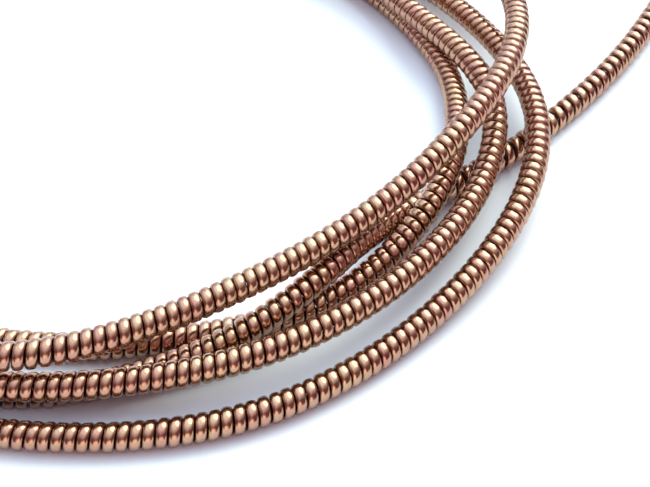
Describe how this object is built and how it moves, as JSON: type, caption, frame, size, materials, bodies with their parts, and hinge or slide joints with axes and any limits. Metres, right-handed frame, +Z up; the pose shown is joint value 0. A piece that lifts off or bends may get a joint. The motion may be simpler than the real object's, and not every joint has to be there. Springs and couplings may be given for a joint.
{
  "type": "wound wire cord",
  "caption": "Hollow cord of close-wound copper wire, lying as a loose flat coil with two trimmed free ends.",
  "frame": {"origin": "under the middle of the coil's bounding box, on the surface that it lies on", "axes": "+Z up from that surface; +X along the longest side, towards the free tail"},
  "size_m": [0.0878, 0.0684, 0.008],
  "materials": {
    "wound_wire": "satin antique copper, darker between the turns"
  },
  "bodies": {
    "root": {"wire_wound_cord": "wound_wire"}
  },
  "joints": []
}
